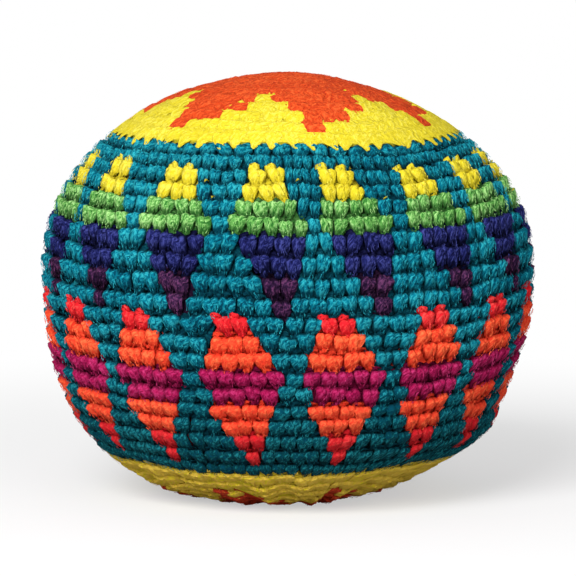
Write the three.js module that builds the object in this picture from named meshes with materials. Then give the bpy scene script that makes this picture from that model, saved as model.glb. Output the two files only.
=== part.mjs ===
// A crocheted bean bag for kicking and juggling. The cover is worked in the round, from the middle of
// the base up to the middle of the crown, and each length of coloured yarn in it is one piece. Inside lie
// plastic pellets. Lengths are in millimetres, +Z is up and the origin is under the middle of the base.
import * as THREE from "three";

// The bag's outer shape: a squashed ball, fuller below than above, and pressed flat where it stands.
const bagWidth = 60;
const crownHeight = 22.9; // from the widest round up to the middle of the crown
const baseDepth = 29.1; // from the widest round down to the surface it stands on
const pressedFlat = 0.7; // how much of the rounded base the bag's weight presses flat
const crownFullness = 1.9; // exponents of the two half superellipses: 2 is a plain ellipse
const baseFullness = 2.7;

// The crochet: one wall of stitches, and behind it the strands that are carried round between motifs.
const wall = 2.2;
const strandThickness = 1.1;
const clearance = 0.3; // between neighbouring pieces
const centreHole = 3.2; // across the hole that is left in the middle of the crown and of the base

// Rounds are counted from the middle of the base, and all have one height.
const endRoundCount = 11; // in the base, and again in the crown
const sideRoundCount = 20;
const roundCount = endRoundCount + sideRoundCount + endRoundCount;
const sideRepeatCount = 16; // motifs round the side
const repeatStitchCount = 6;
const endRepeatCount = 7; // points of the star in the crown and in the base

// Turns about the axis, in degrees from the front, to the right when seen from there.
const diamondDegrees = 15.5; // the middle of a diamond, where the side starts
const crownPointDegrees = 9.3; // the tip of one of the star's points
const basePointDegrees = -26.5;
const leanDegrees = -0.6; // how far each round of the side is turned against the one below

// The fewest facets that a star's point or a side motif's repeat gets round the bag, as a mean.
const endFacetCount = 4;
const sideFacetCount = 1.4;

// The pellets lie in layers, each as a sheet of touching pellets. A layer reaches this far out from its
// middle, in pellets, from the lowest layer up.
const layerReachShares = [1, 2.4, 2.7, 3.1, 3, 3.1, 2.7, 1.6, 0];
const pelletNeckShare = 0.3; // height where three pellets meet, as a share of the pellet's height

// The yarn ends in the two centre holes.
const knotHeight = 1.6;
const knotRoundingShare = 0.3; // the share of the knot's height and radius that its rounded edges take
const tailLength = 1.8;

const yarnColours = {
  teal: 0x0a7f8c,
  yellow: 0xffe11a,
  flame: 0xf2501e,
  red: 0xd81f2a,
  orange: 0xff5a1f,
  magenta: 0xa8195f,
  purple: 0x3a1a3c,
  navy: 0x2b2a72,
  green: 0x7cbf4a,
};
const yarnRoughness = 0.95;
const pelletColour = 0xe9e6da;
const pelletRoughness = 0.45;

// The outline from the middle of the base (t = 0) to the middle of the crown (t = 1).
class CoverOutline extends THREE.Curve {
  getPoint(t, target = new THREE.Vector2()) {
    const angle = (t - 0.5) * Math.PI;
    const above = angle > 0;
    const power = 2 / (above ? crownFullness : baseFullness);
    const reach = above ? crownHeight : baseDepth + pressedFlat;
    const radius = (bagWidth / 2) * Math.abs(Math.cos(angle)) ** power;
    const height = Math.sign(angle) * reach * Math.abs(Math.sin(angle)) ** power;
    return target.set(radius, Math.max(baseDepth + height, 0));
  }
}
const outline = new CoverOutline();
outline.arcLengthDivisions = 1000;
const roundHeight = outline.getLength() / roundCount;

// A point of the cover, by its round, its turn about the axis (0 to 1) and its depth under the surface.
function coverPoint(round, turn, depth) {
  const share = THREE.MathUtils.clamp(round / roundCount, 0, 1);
  const at = outline.getPointAt(share);
  const along = outline.getTangentAt(share);
  const radius = at.x - depth * along.y;
  const angle = turn * 2 * Math.PI;
  return new THREE.Vector3(radius * Math.cos(angle), radius * Math.sin(angle), at.y + depth * along.x);
}

const radiusAt = (round) => coverPoint(round, 0, 0).x;

// The rounds at which the centre hole ends and the crown begins.
const holeRounds = centreHole / 2 / roundHeight;
const crownStart = endRoundCount + sideRoundCount;

// A band is a ring of the cover. back is the piece all round it, and motif the piece set into it, which
// repeats round the bag. start and end give the motif's width, in stitches, at the band's lower and upper
// edge, and startAt and endAt its middle there, as shares of a repeat.
const diamondShare = 0;
const triangleShare = 0.5;
const motif = (node, middle, start, end) => ({
  node,
  startAt: middle,
  endAt: middle,
  start: start / repeatStitchCount,
  end: end / repeatStitchCount,
});
const sideBands = [
  { rounds: 1 },
  { rounds: 2, motif: motif("lower_red_tips", diamondShare, 0.7, 2.5) },
  { rounds: 2, motif: motif("lower_orange_diamonds", diamondShare, 2.5, 4.2) },
  { rounds: 2, motif: motif("magenta_diamonds", diamondShare, 4.2, 4.8) },
  { rounds: 2, motif: motif("upper_orange_diamonds", diamondShare, 4.8, 2.6) },
  { rounds: 1, motif: motif("upper_red_tips", diamondShare, 2.6, 1.4) },
  { rounds: 2, motif: motif("purple_tips", triangleShare, 0.7, 2.5) },
  { rounds: 2, motif: motif("navy_triangles", triangleShare, 2.5, 4.6) },
  { rounds: 2, motif: motif("green_triangles", triangleShare, 4.6, 3.6) },
  { rounds: 3, motif: motif("yellow_triangles", triangleShare, 3.6, 0.9) },
  { rounds: 1 },
];

// The star's body takes five rounds. Its points narrow over the next five, and lean as the rounds spiral.
const starBodyRoundCount = 5;
const pressedRoundCount = 4.2; // of these, the ones that lie flat in the base
const starPointRoundCount = 5;
const pointStartShare = 0.94;
const pointEndShare = 0.12;
const pointLeanShare = 0.1;
const halfwayShare = 0.5;

function starBands(star, field) {
  const middle = (share) => pointLeanShare * (1 - share);
  const width = (share) => THREE.MathUtils.lerp(pointStartShare, pointEndShare, share);
  const pointBand = (from, to) => ({
    rounds: starPointRoundCount / 2,
    back: field,
    motif: { node: star, startAt: middle(from), endAt: middle(to), start: width(from), end: width(to) },
  });
  return [
    { rounds: pressedRoundCount / 2 - holeRounds, back: star },
    { rounds: pressedRoundCount / 2, back: star },
    { rounds: starBodyRoundCount - pressedRoundCount, back: star },
    pointBand(0, halfwayShare),
    pointBand(halfwayShare, 1),
    { rounds: endRoundCount - starBodyRoundCount - starPointRoundCount, back: field },
  ];
}

// The crown is the base's list turned over.
const turnedOver = (band) => ({
  ...band,
  motif: band.motif && {
    node: band.motif.node,
    startAt: band.motif.endAt,
    endAt: band.motif.startAt,
    start: band.motif.end,
    end: band.motif.start,
  },
});

// Each zone's bands with the rounds they lie between.
function placeBands(bands, firstRound) {
  let round = firstRound;
  return bands.map((band) => {
    const low = round;
    round += band.rounds;
    return { ...band, low, high: round };
  });
}
const zones = [
  {
    repeats: endRepeatCount,
    facets: endFacetCount,
    turn: basePointDegrees,
    lean: 0,
    bands: placeBands(starBands("base_star", "base_field"), holeRounds),
  },
  {
    repeats: sideRepeatCount,
    facets: sideFacetCount,
    turn: diamondDegrees,
    lean: leanDegrees,
    bands: placeBands(
      sideBands.map((band) => ({ back: "teal_ground", ...band })),
      endRoundCount,
    ),
  },
  {
    repeats: endRepeatCount,
    facets: endFacetCount,
    turn: crownPointDegrees,
    lean: 0,
    bands: placeBands(starBands("crown_star", "crown_field").reverse().map(turnedOver), crownStart),
  },
];

// The runs of one band at one of its edges: the motif, and the background up to the next motif.
function runsOf(band, edge) {
  if (!band.motif) {
    return [{ node: band.back, from: 0, to: 1 }];
  }
  const middle = band.motif[edge + "At"];
  const half = band.motif[edge] / 2;
  return [
    { node: band.motif.node, from: middle - half, to: middle + half },
    { node: band.back, from: middle + half, to: middle + 1 - half },
  ];
}

// The side's motifs have strands behind the ground between them. The stars are whole without.
const carriesStrands = (band) => band.back === "teal_ground" && Boolean(band.motif);

// Places nearer to each other than this share of a repeat are one place.
const tiny = 1e-6;
const same = (a, b) => Math.abs(a - b) < tiny;
const wrapped = (share) => share - Math.floor(share + tiny);

// The places, as shares of one repeat, where the circle between two bands has a vertex: each run's ends,
// and between them enough more to keep the circle round.
function placesOn(below, above, facets) {
  const ends = [
    ...(below ? runsOf(below, "end") : []),
    ...(above ? runsOf(above, "start") : []),
  ].map((run) => wrapped(run.from));
  const places = ends.filter((place, i) => ends.findIndex((other) => same(other, place)) === i);
  places.sort((a, b) => a - b);
  return places.flatMap((place, i) => {
    const next = i + 1 < places.length ? places[i + 1] : places[0] + 1;
    const steps = Math.ceil((next - place) * facets - tiny);
    return Array.from({ length: steps }, (_, step) => place + ((next - place) * step) / steps);
  });
}

// The vertices of a circle that lie in a run, with the run's ends, in order. A run can start in the
// repeat before its own and end in the one after.
const nearbyRepeats = [-1, 0, 1, 2];
function verticesIn(places, run, repeat) {
  return nearbyRepeats
    .flatMap((whole) => places.map((place) => place + whole))
    .filter((at) => at > run.from - tiny && at < run.to + tiny)
    .map((at) => at + repeat)
    .sort((a, b) => a - b);
}

// Which piece lies beside a vertex, just to one side of it along the circle.
const justBesideShare = 1e-4;
function pieceBeside(band, edge, place, side) {
  if (!band) {
    return null;
  }
  const at = place + side * justBesideShare;
  const inRun = (run) => {
    const from = wrapped(at - run.from);
    return from <= run.to - run.from;
  };
  return runsOf(band, edge).find(inRun)?.node ?? null;
}

// The cover's patches. A patch holds a piece's triangles at the surface, and with them, for a piece with
// carried strands, the triangles between its motifs, behind which the strands run. Each vertex is moved
// away from the neighbouring pieces by half the clearance.
const patches = new Map();
function patchOf(node) {
  if (!patches.has(node)) {
    patches.set(node, { vertices: new Map(), front: [], between: [] });
  }
  return patches.get(node);
}

// The triangles between two rows of vertices, which need not be equally long.
function strip(low, high, share) {
  const triangles = [];
  let a = 0;
  let b = 0;
  while (a < low.length - 1 || b < high.length - 1) {
    const alongLow = b === high.length - 1 || (a < low.length - 1 && share(low, a + 1) <= share(high, b + 1));
    triangles.push([low[a], alongLow ? low[a + 1] : high[b + 1], high[b]]);
    if (alongLow) {
      a += 1;
    } else {
      b += 1;
    }
  }
  return triangles;
}

function addZone({ repeats, facets, turn, lean, bands }) {
  const circles = [...bands, null].map((above, i) => {
    const below = bands[i - 1] ?? null;
    return { round: above ? above.low : below.high, below, above, places: placesOn(below, above, facets) };
  });

  // A vertex's key, after it is put into the patch.
  function vertexIn(node, circle, at, band) {
    const { vertices } = patchOf(node);
    const place = wrapped(at);
    const key = circle.round.toFixed(4) + " " + Math.round(wrapped(at / repeats) / tiny);
    const beside = [-1, 1].flatMap((side) => [
      { around: side, up: 1, inPiece: pieceBeside(circle.above, "start", place, side) === node },
      { around: side, up: -1, inPiece: pieceBeside(circle.below, "end", place, side) === node },
    ]);
    const pull = (way) => Math.sign(beside.reduce((sum, one) => sum + (one.inPiece ? one[way] : 0), 0));
    const up = band.motif?.node === node ? (circle.above === band ? 1 : -1) : pull("up");
    const degrees = turn - 90 + lean * (circle.round - endRoundCount);
    const girth = 2 * Math.PI * radiusAt(circle.round);
    vertices.set(key, {
      round: circle.round + (up * clearance) / 2 / roundHeight,
      turn: at / repeats + degrees / 360 + (pull("around") * clearance) / 2 / girth,
    });
    return key;
  }

  function addRun(node, list, band, i, repeat, r) {
    const [low, high] = [
      [circles[i], runsOf(band, "start")[r]],
      [circles[i + 1], runsOf(band, "end")[r]],
    ].map(([circle, run]) =>
      verticesIn(circle.places, run, repeat).map((at) => ({
        share: (at - repeat - run.from) / (run.to - run.from),
        key: vertexIn(node, circle, at, band),
      })),
    );
    const triangles = strip(low, high, (row, n) => row[n].share);
    list.push(...triangles.map((corners) => corners.map((corner) => corner.key)));
  }

  bands.forEach((band, i) => {
    for (let repeat = 0; repeat < repeats; repeat++) {
      runsOf(band, "start").forEach(({ node }, r) => addRun(node, patchOf(node).front, band, i, repeat, r));
      if (carriesStrands(band)) {
        addRun(band.motif.node, patchOf(band.motif.node).between, band, i, repeat, 1);
      }
    }
  });
}
zones.forEach(addZone);

// The solid behind a patch. The front triangles have the wall behind them. Behind the whole patch, if it
// has triangles between its motifs, follow the carried strands.
const strandFront = wall + clearance;
const strandBack = strandFront + strandThickness;
function solidBehind({ vertices, front, between }) {
  const levels = between.length ? [0, strandFront, strandBack] : [0, wall];
  const last = levels.length - 1;
  const order = new Map([...vertices.keys()].map((key, i) => [key, i]));
  const points = levels.flatMap((depth) =>
    [...vertices.values()].map(({ round, turn }) => coverPoint(round, turn, depth)),
  );
  const at = (key, level) => order.get(key) + level * vertices.size;
  const edgesOf = (triangles) =>
    triangles.flatMap(([a, b, c]) => [
      [a, b],
      [b, c],
      [c, a],
    ]);
  const named = (triangles) => new Set(edgesOf(triangles).map(([a, b]) => b + "," + a));
  const [besideFront, besideBetween] = [named(front), named(between)];
  const side = ([a, b], level) => [
    [at(b, level), at(a, level), at(a, level + 1)],
    [at(b, level), at(a, level + 1), at(b, level + 1)],
  ];
  const indices = [
    ...front.map((corners) => corners.map((key) => at(key, 0))),
    ...between.map((corners) => corners.map((key) => at(key, 1))),
    ...[...front, ...between].map(([a, b, c]) => [at(a, last), at(c, last), at(b, last)]),
  ];
  for (const edge of edgesOf(front)) {
    const name = edge[0] + "," + edge[1];
    if (!besideFront.has(name)) {
      indices.push(...side(edge, 0));
      if (last > 1 && !besideBetween.has(name)) {
        indices.push(...side(edge, 1));
      }
    }
  }
  for (const edge of edgesOf(between)) {
    const name = edge[0] + "," + edge[1];
    if (!besideFront.has(name) && !besideBetween.has(name)) {
      indices.push(...side(edge, 1));
    }
  }
  return new THREE.BufferGeometry().setFromPoints(points).setIndex(indices.flat());
}

const bag = new THREE.Group();
function addPiece(name, geometry, colour, roughness) {
  const material = new THREE.MeshStandardMaterial({ color: colour, roughness, metalness: 0 });
  const mesh = new THREE.Mesh(geometry, material);
  mesh.name = name;
  bag.add(mesh);
}

// The motifs of one colour in a band are one length of yarn, since its strands run on between them.
const coverYarns = {
  base_star: "flame",
  base_field: "yellow",
  teal_ground: "teal",
  lower_red_tips: "red",
  lower_orange_diamonds: "orange",
  magenta_diamonds: "magenta",
  upper_orange_diamonds: "orange",
  upper_red_tips: "red",
  purple_tips: "purple",
  navy_triangles: "navy",
  green_triangles: "green",
  yellow_triangles: "yellow",
  crown_field: "yellow",
  crown_star: "flame",
};
for (const [node, yarn] of Object.entries(coverYarns)) {
  addPiece(node, solidBehind(patches.get(node)), yarnColours[yarn], yarnRoughness);
}

// The starting loop in the base and the drawn-in closing knot in the crown, each with its yarn tail.
const bagHeight = baseDepth + crownHeight;
const knotSegmentCount = 12;
function yarnEnd(tail) {
  const knotRadius = centreHole / 2 - clearance;
  const tailRadius = strandThickness / 2;
  const profile = [
    new THREE.Vector2(0, 0),
    new THREE.Vector2(knotRadius * (1 - knotRoundingShare), 0),
    new THREE.Vector2(knotRadius, -knotHeight * knotRoundingShare),
    new THREE.Vector2(knotRadius, -knotHeight * (1 - knotRoundingShare)),
    new THREE.Vector2(tailRadius, -knotHeight),
    new THREE.Vector2(tailRadius, -knotHeight - tail),
    new THREE.Vector2(0, -knotHeight - tail),
  ].reverse();
  return new THREE.LatheGeometry(profile, knotSegmentCount).rotateX(Math.PI / 2);
}
addPiece(
  "crown_closing_knot",
  yarnEnd(tailLength).translate(0, 0, bagHeight - clearance),
  yarnColours.flame,
  yarnRoughness,
);
const loopTail = wall - clearance - knotHeight;
addPiece(
  "base_starting_loop",
  yarnEnd(loopTail).rotateX(Math.PI).translate(0, 0, clearance),
  yarnColours.flame,
  yarnRoughness,
);

// The pellets. A layer is a sheet of pellets side by side in a triangular pattern. Each pellet is a pair
// of six-sided cones, base to base, and three neighbours meet at each corner of the six.
const cornerShare = 1 / Math.sqrt(3); // from a pellet's middle to a corner, as a share of its width

// The places of a layer's pellets, in pellets from the layer's middle.
function pelletPlaces(reach, shifted) {
  const rows = Math.ceil(reach) + 1;
  const places = [];
  for (let row = -rows; row <= rows; row++) {
    for (let column = -2 * rows; column <= 2 * rows; column++) {
      const across = row * Math.sin(Math.PI / 3) + (shifted ? cornerShare : 0);
      const place = new THREE.Vector2(column + row / 2, across);
      if (place.length() < reach + tiny) {
        places.push(place);
      }
    }
  }
  return places;
}

// The cavity's radius at a height.
const cavityDepth = strandBack + clearance;
const outlineStepCount = 4 * roundCount;
const cavityOutline = Array.from({ length: outlineStepCount + 1 }, (_, i) =>
  coverPoint((i / outlineStepCount) * roundCount, 0, cavityDepth),
);
function cavityRadius(height) {
  const above = cavityOutline.findIndex((point) => point.z > height);
  if (above < 1) {
    return 0;
  }
  const [low, high] = [cavityOutline[above - 1], cavityOutline[above]];
  return THREE.MathUtils.mapLinear(height, low.z, high.z, low.x, high.x);
}

// The layers fill the cavity's height. All the pellets have one size, the largest that there is room for.
const layerCount = layerReachShares.length;
const pelletHeight =
  (bagHeight - 2 * cavityDepth - (layerCount + 1) * clearance) /
  (1 + ((layerCount - 1) * (1 + pelletNeckShare)) / 2);
const neckHeight = pelletHeight * pelletNeckShare;
const layerPitch = (pelletHeight + neckHeight) / 2 + clearance;
const layers = layerReachShares.map((reach, i) => ({
  middle: cavityDepth + clearance + pelletHeight / 2 + i * layerPitch,
  places: pelletPlaces(reach, i % 2 === 1),
}));
const widthWithRoom = ({ middle, places }) => {
  const furthest = Math.max(...places.map((place) => place.length()));
  const room = (height) =>
    Math.min(cavityRadius(middle - height / 2), cavityRadius(middle + height / 2));
  return Math.min(
    room(neckHeight) / (furthest + cornerShare),
    room(pelletHeight) / Math.max(furthest, tiny),
  );
};
const pelletWidth = Math.min(...layers.map(widthWithRoom));

function pelletLayer({ middle, places }) {
  const points = [];
  const seen = new Map();
  const point = (x, y, z) => {
    const key = [x, y].map((value) => Math.round(value / tiny)).join(" ") + " " + z;
    if (!seen.has(key)) {
      seen.set(key, points.length);
      points.push(new THREE.Vector3(x * pelletWidth, y * pelletWidth, middle + z));
    }
    return seen.get(key);
  };
  const faces = [];
  const sides = new Map();
  for (const { x, y } of places) {
    const top = point(x, y, pelletHeight / 2);
    const bottom = point(x, y, -pelletHeight / 2);
    const corners = Array.from({ length: 6 }, (_, i) => {
      const angle = (i + 0.5) * (Math.PI / 3);
      const [cx, cy] = [x + cornerShare * Math.cos(angle), y + cornerShare * Math.sin(angle)];
      return [point(cx, cy, neckHeight / 2), point(cx, cy, -neckHeight / 2)];
    });
    corners.forEach(([high, low], i) => {
      const [nextHigh, nextLow] = corners[(i + 1) % corners.length];
      faces.push([top, high, nextHigh], [bottom, nextLow, low]);
      sides.set(high + " " + nextHigh, [high, nextHigh, low, nextLow]);
    });
  }
  for (const [high, nextHigh, low, nextLow] of sides.values()) {
    if (!sides.has(nextHigh + " " + high)) {
      faces.push([nextHigh, high, low], [nextHigh, low, nextLow]);
    }
  }
  return new THREE.BufferGeometry().setFromPoints(points).setIndex(faces.flat());
}

layers.forEach((layer, i) => {
  const name = "pellet_layer_" + String(i + 1).padStart(2, "0");
  addPiece(name, pelletLayer(layer), pelletColour, pelletRoughness);
});

export default bag;
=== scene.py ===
# %% [markdown]
# # A crocheted bean bag
#
# The bag is a squashed ball of tapestry crochet, stuffed with plastic pellets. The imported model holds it
# as plain solids, one for each length of coloured yarn. This lesson dresses them: about 2,600 stitches
# are laid round by round, each where the hook would have made it, and each in the colour that the
# pattern asks for.

import math

import bpy
import numpy as np
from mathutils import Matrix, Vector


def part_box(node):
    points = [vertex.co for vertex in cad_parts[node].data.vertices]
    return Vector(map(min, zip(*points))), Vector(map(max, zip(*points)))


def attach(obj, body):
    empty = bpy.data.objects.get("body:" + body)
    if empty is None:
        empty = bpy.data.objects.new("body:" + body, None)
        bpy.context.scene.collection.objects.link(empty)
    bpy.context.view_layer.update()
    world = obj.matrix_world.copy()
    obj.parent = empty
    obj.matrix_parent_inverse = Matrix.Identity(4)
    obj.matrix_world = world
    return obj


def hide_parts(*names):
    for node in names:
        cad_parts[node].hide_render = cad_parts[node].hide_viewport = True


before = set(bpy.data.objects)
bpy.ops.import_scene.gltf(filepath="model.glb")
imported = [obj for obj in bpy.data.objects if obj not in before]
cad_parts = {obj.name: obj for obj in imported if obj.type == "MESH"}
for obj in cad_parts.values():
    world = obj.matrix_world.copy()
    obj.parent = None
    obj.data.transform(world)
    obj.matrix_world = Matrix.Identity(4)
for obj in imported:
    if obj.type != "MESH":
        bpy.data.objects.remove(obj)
bpy.context.view_layer.update()
rng = np.random.default_rng(16)
MM = 0.001

# %% [markdown]
# ## The outline
#
# A stuffed crocheted ball has nearly the same outline all round. Drawing it as one curve, and measuring
# every place along that curve in rounds of crochet, lets a stitch be placed by its round and its turn
# about the middle, the way a maker counts. The upper and lower halves are superellipses, which are
# ellipses whose fullness can be chosen, and the base is pressed flat where the bag stands.

# %% The outline as a curve from the middle of the base to the middle of the crown
BAG_RADIUS = 30 * MM
CROWN_HEIGHT = 22.9 * MM
BASE_DEPTH = 29.1 * MM
PRESSED_FLAT = 0.7 * MM
CROWN_FULLNESS = 1.9
BASE_FULLNESS = 2.7
END_ROUNDS = 11
SIDE_ROUNDS = 20
ROUNDS = END_ROUNDS + SIDE_ROUNDS + END_ROUNDS
FINE_STEPS = 8001

swing = np.linspace(-math.pi / 2, math.pi / 2, FINE_STEPS)
power = np.where(swing > 0, 2 / CROWN_FULLNESS, 2 / BASE_FULLNESS)
reach = np.where(swing > 0, CROWN_HEIGHT, BASE_DEPTH + PRESSED_FLAT)
outline_r = BAG_RADIUS * np.abs(np.cos(swing)) ** power
outline_z = BASE_DEPTH + np.sign(swing) * reach * np.abs(np.sin(swing)) ** power
outline_z = np.maximum(outline_z, 0)
steps = np.hypot(np.diff(outline_r), np.diff(outline_z))
outline_s = np.concatenate([[0], np.cumsum(steps)])
ROUND_HEIGHT = outline_s[-1] / ROUNDS
print(f"outline {outline_s[-1] / MM:.1f} mm long, a round is {ROUND_HEIGHT / MM:.2f} mm high")


# %% The outline at even steps, and which way it leans there
QUARTER_ROUND = ROUND_HEIGHT / 4
EVEN_STEPS = 1200
even_s = np.linspace(0, outline_s[-1], EVEN_STEPS)
even_r = np.interp(even_s, outline_s, outline_r)
even_z = np.interp(even_s, outline_s, outline_z)
lean_r = np.interp(even_s + QUARTER_ROUND, outline_s, outline_r)
lean_r -= np.interp(even_s - QUARTER_ROUND, outline_s, outline_r)
lean_z = np.interp(even_s + QUARTER_ROUND, outline_s, outline_z)
lean_z -= np.interp(even_s - QUARTER_ROUND, outline_s, outline_z)
print(f"the bag stands on a flat foot of {even_r[even_z <= 0].max() / MM:.1f} mm radius")

# %% [markdown]
# ## How the bag has slumped
#
# A bag of loose pellets never stands quite true. This one hangs a little at its right shoulder and on
# top, its right foot and waist are drawn in, its rounds climb towards the sides, and the slack cloth
# under it lies in folds. A cloth simulation could let it slump by chance. A few smooth functions make
# the slump that the photograph shows, and every stitch is placed through them, so nothing slides apart.

# %% Where the filling has sagged
# A pair of numbers is where a change starts and where it is full.
SHOULDER_DROP = 0.45 * MM
SHOULDER_ACROSS = (0, 14)  # mm from the middle, to the right
SHOULDER_UP = (36, 46)  # mm above the ground
TOP_DROP = 0.3 * MM
TOP_UP = (48.5, 51.5)
FOOT_SHIFT = 2.9 * MM
FOOT_ACROSS = (0, 11)
FOOT_DOWN = (9.5, 1)
WAIST_SHIFT = 0.85 * MM
WAIST_ACROSS = (8, 26)
WAIST_DOWN = (23, 14)
WAIST_UP = (7, 12)


def eased(value, start, end):
    """0 at start, 1 at end, smooth between."""
    t = np.clip((value - start) / (end - start), 0, 1)
    return t * t * (3 - 2 * t)


def settled(points):
    """Lets the top and the right shoulder hang, and draws in the foot and the waist on the right."""
    x, z = points[..., 0] / MM, points[..., 2] / MM
    shoulder = SHOULDER_DROP * eased(x, *SHOULDER_ACROSS) * eased(z, *SHOULDER_UP)
    moved = points.copy()
    moved[..., 2] -= shoulder + TOP_DROP * eased(z, *TOP_UP)
    moved[..., 0] -= FOOT_SHIFT * eased(x, *FOOT_ACROSS) * eased(z, *FOOT_DOWN)
    waist = WAIST_SHIFT * eased(x, *WAIST_ACROSS) * eased(z, *WAIST_DOWN) * eased(z, *WAIST_UP)
    moved[..., 0] -= waist
    return moved


# %% How far the rounds are from level, counted in rounds
LEFT_RISE = 0.35
RIGHT_RISE = 0.75
RISE_ASIDE = (20, 85)  # degrees from the front
RISE_BEHIND = (180, 110)
RISE_UP = (11, 16)
RISE_DOWN = (42, 36)
FRONT_SAG = 0.35
SAG_ASIDE = (60, 20)
SAG_DOWN = (15, 11.5)
SAG_UP = (4, 9)
UNEVEN_AT = [12, 16, 21.5, 25, 29.5, 31.2]  # rounds, and how far each lies above its even place
UNEVEN_BY = [0, -0.2, -0.2, 0.33, 0.33, 0]


def slid(rounds, degrees):
    """Where a round lies at that turn: raised at both sides, and sagging in front near the foot."""
    turn = (degrees + 180) % 360 - 180
    aside = np.abs(turn)
    rise = np.where(turn > 0, RIGHT_RISE, LEFT_RISE) * eased(aside, *RISE_ASIDE)
    rise = rise * eased(aside, *RISE_BEHIND) * eased(rounds, *RISE_UP) * eased(rounds, *RISE_DOWN)
    sag = FRONT_SAG * eased(aside, *SAG_ASIDE) * eased(rounds, *SAG_DOWN) * eased(rounds, *SAG_UP)
    return rounds + rise - sag + np.interp(rounds, UNEVEN_AT, UNEVEN_BY)


# %% The folds of the slack cloth
BASE_FOLD = 0.17 * MM
BASE_FOLDS = ((19, 0.5, 0), (27, -0.3, 2))  # how many go round, their twist in a round, their phase
BASE_FOLDED = ((1, 5), (11.5, 9.5))  # the rounds over which they start, and over which they end
CROWN_FOLD = 0.05 * MM
CROWN_FOLDS = ((11, 1.3, 0), (17, -0.9, 1))
CROWN_FOLDED = ((31, 34), (42, 39))


def ripples(rounds, degrees, waves, folded):
    turn = np.radians(degrees)
    total = sum(np.sin(count * turn + twist * rounds + start) for count, twist, start in waves)
    lower, upper = folded
    return total * eased(rounds, *lower) * eased(rounds, *upper)


def folds(rounds, degrees):
    """The slack cloth of the base lies in soft folds, and the crown is a little uneven."""
    base = BASE_FOLD * ripples(rounds, degrees, BASE_FOLDS, BASE_FOLDED)
    return base + CROWN_FOLD * ripples(rounds, degrees, CROWN_FOLDS, CROWN_FOLDED)


# %% A place on the cover, from its round, its turn in degrees and its height above the outline
def on_cover(rounds, degrees, height):
    """Points in metres. Turns start at the front, on the -Y side, and grow to the right."""
    height = height + folds(rounds, degrees)
    along = np.clip(slid(rounds, degrees), 0, ROUNDS) * ROUND_HEIGHT
    tilt_r = np.interp(along, even_s, lean_r)
    tilt_z = np.interp(along, even_s, lean_z)
    length = np.hypot(tilt_r, tilt_z)
    radius = np.interp(along, even_s, even_r) + height * tilt_z / length
    z = np.interp(along, even_s, even_z) - height * tilt_r / length
    turn = np.radians(degrees)
    return settled(np.stack([radius * np.sin(turn), -radius * np.cos(turn), z], axis=-1))


def radius_at(rounds):
    return np.interp(np.asarray(rounds) * ROUND_HEIGHT, outline_s, outline_r)


print(f"radius where the crown starts: {radius_at(END_ROUNDS + SIDE_ROUNDS) / MM:.1f} mm")

# %% [markdown]
# ## One stitch
#
# Seen from outside, a single crochet stitch is a plump V: two legs of yarn that come out of the stitch
# below side by side, swell and part, and dive under the round above, where a loop of yarn closes them.
# Each could be a curve with a bevel, but a leg's thickness changes all the way, so it is extruded ring
# by ring from a six-sided circle. The right leg is slimmer and lies a little deeper, as in real
# crochet. The bench for this is in millimetres: X goes round the bag, Z goes up the cover and Y goes
# into it. Six sides are enough, because this shape is repeated thousands of times.


# %% A strand of yarn, extruded ring by ring along a path
def deselect_all():
    if bpy.context.object and bpy.context.object.mode != "OBJECT":
        bpy.ops.object.mode_set(mode="OBJECT")
    bpy.ops.object.select_all(action="DESELECT")


def turn_selected(old, new, centre):
    """Turns the selected ring about its centre, from facing along old to facing along new."""
    old, new = old / np.linalg.norm(old), new / np.linalg.norm(new)
    axis = np.cross(old, new)
    if np.linalg.norm(axis) > 1e-6:
        hinge = axis / np.linalg.norm(axis)
        axes = np.array([hinge, old, np.cross(hinge, old)])
        bpy.ops.transform.rotate(
            value=-math.atan2(np.linalg.norm(axis), float(old @ new)),
            orient_axis="X",
            orient_matrix=axes.tolist(),
            orient_type="GLOBAL",
            orient_matrix_type="GLOBAL",
            center_override=centre.tolist(),
        )


def extrude_strand(name, path, radii, sides):
    path = np.array(path, float)
    heading = np.gradient(path, axis=0)
    deselect_all()
    bpy.ops.mesh.primitive_circle_add(
        vertices=sides, radius=radii[0], fill_type="NGON", location=path[0]
    )
    strand = bpy.context.object
    strand.name = name
    bpy.ops.object.mode_set(mode="EDIT")
    bpy.ops.mesh.select_all(action="SELECT")
    turn_selected(np.array([0.0, 0.0, 1.0]), heading[0], path[0])
    for k in range(1, len(path)):
        step = (path[k] - path[k - 1]).tolist()
        bpy.ops.mesh.extrude_region_move(TRANSFORM_OT_translate={"value": step})
        turn_selected(heading[k - 1], heading[k], path[k])
        size = radii[k] / radii[k - 1]
        bpy.ops.transform.resize(value=(size, size, size), center_override=path[k].tolist())
    bpy.ops.mesh.select_all(action="SELECT")
    bpy.ops.mesh.normals_make_consistent(inside=False)
    bpy.ops.object.mode_set(mode="OBJECT")
    bpy.ops.object.transform_apply(location=True, rotation=True, scale=True)
    return strand


# %% [markdown]
# ## Five kinds of stitch
#
# Most stitches are plain. Where the crown starts, long ones hang over the teal round like teeth, and
# that round wears rounded caps between them. At the top of each row of motifs a small horn of yarn
# stands up. A fleck is a glimpse of carried yarn, and is one short strand. The others could each be
# drawn by itself, but they share two legs, which are stretched for the long stitch, and differ in the
# loop that closes them.

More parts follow.
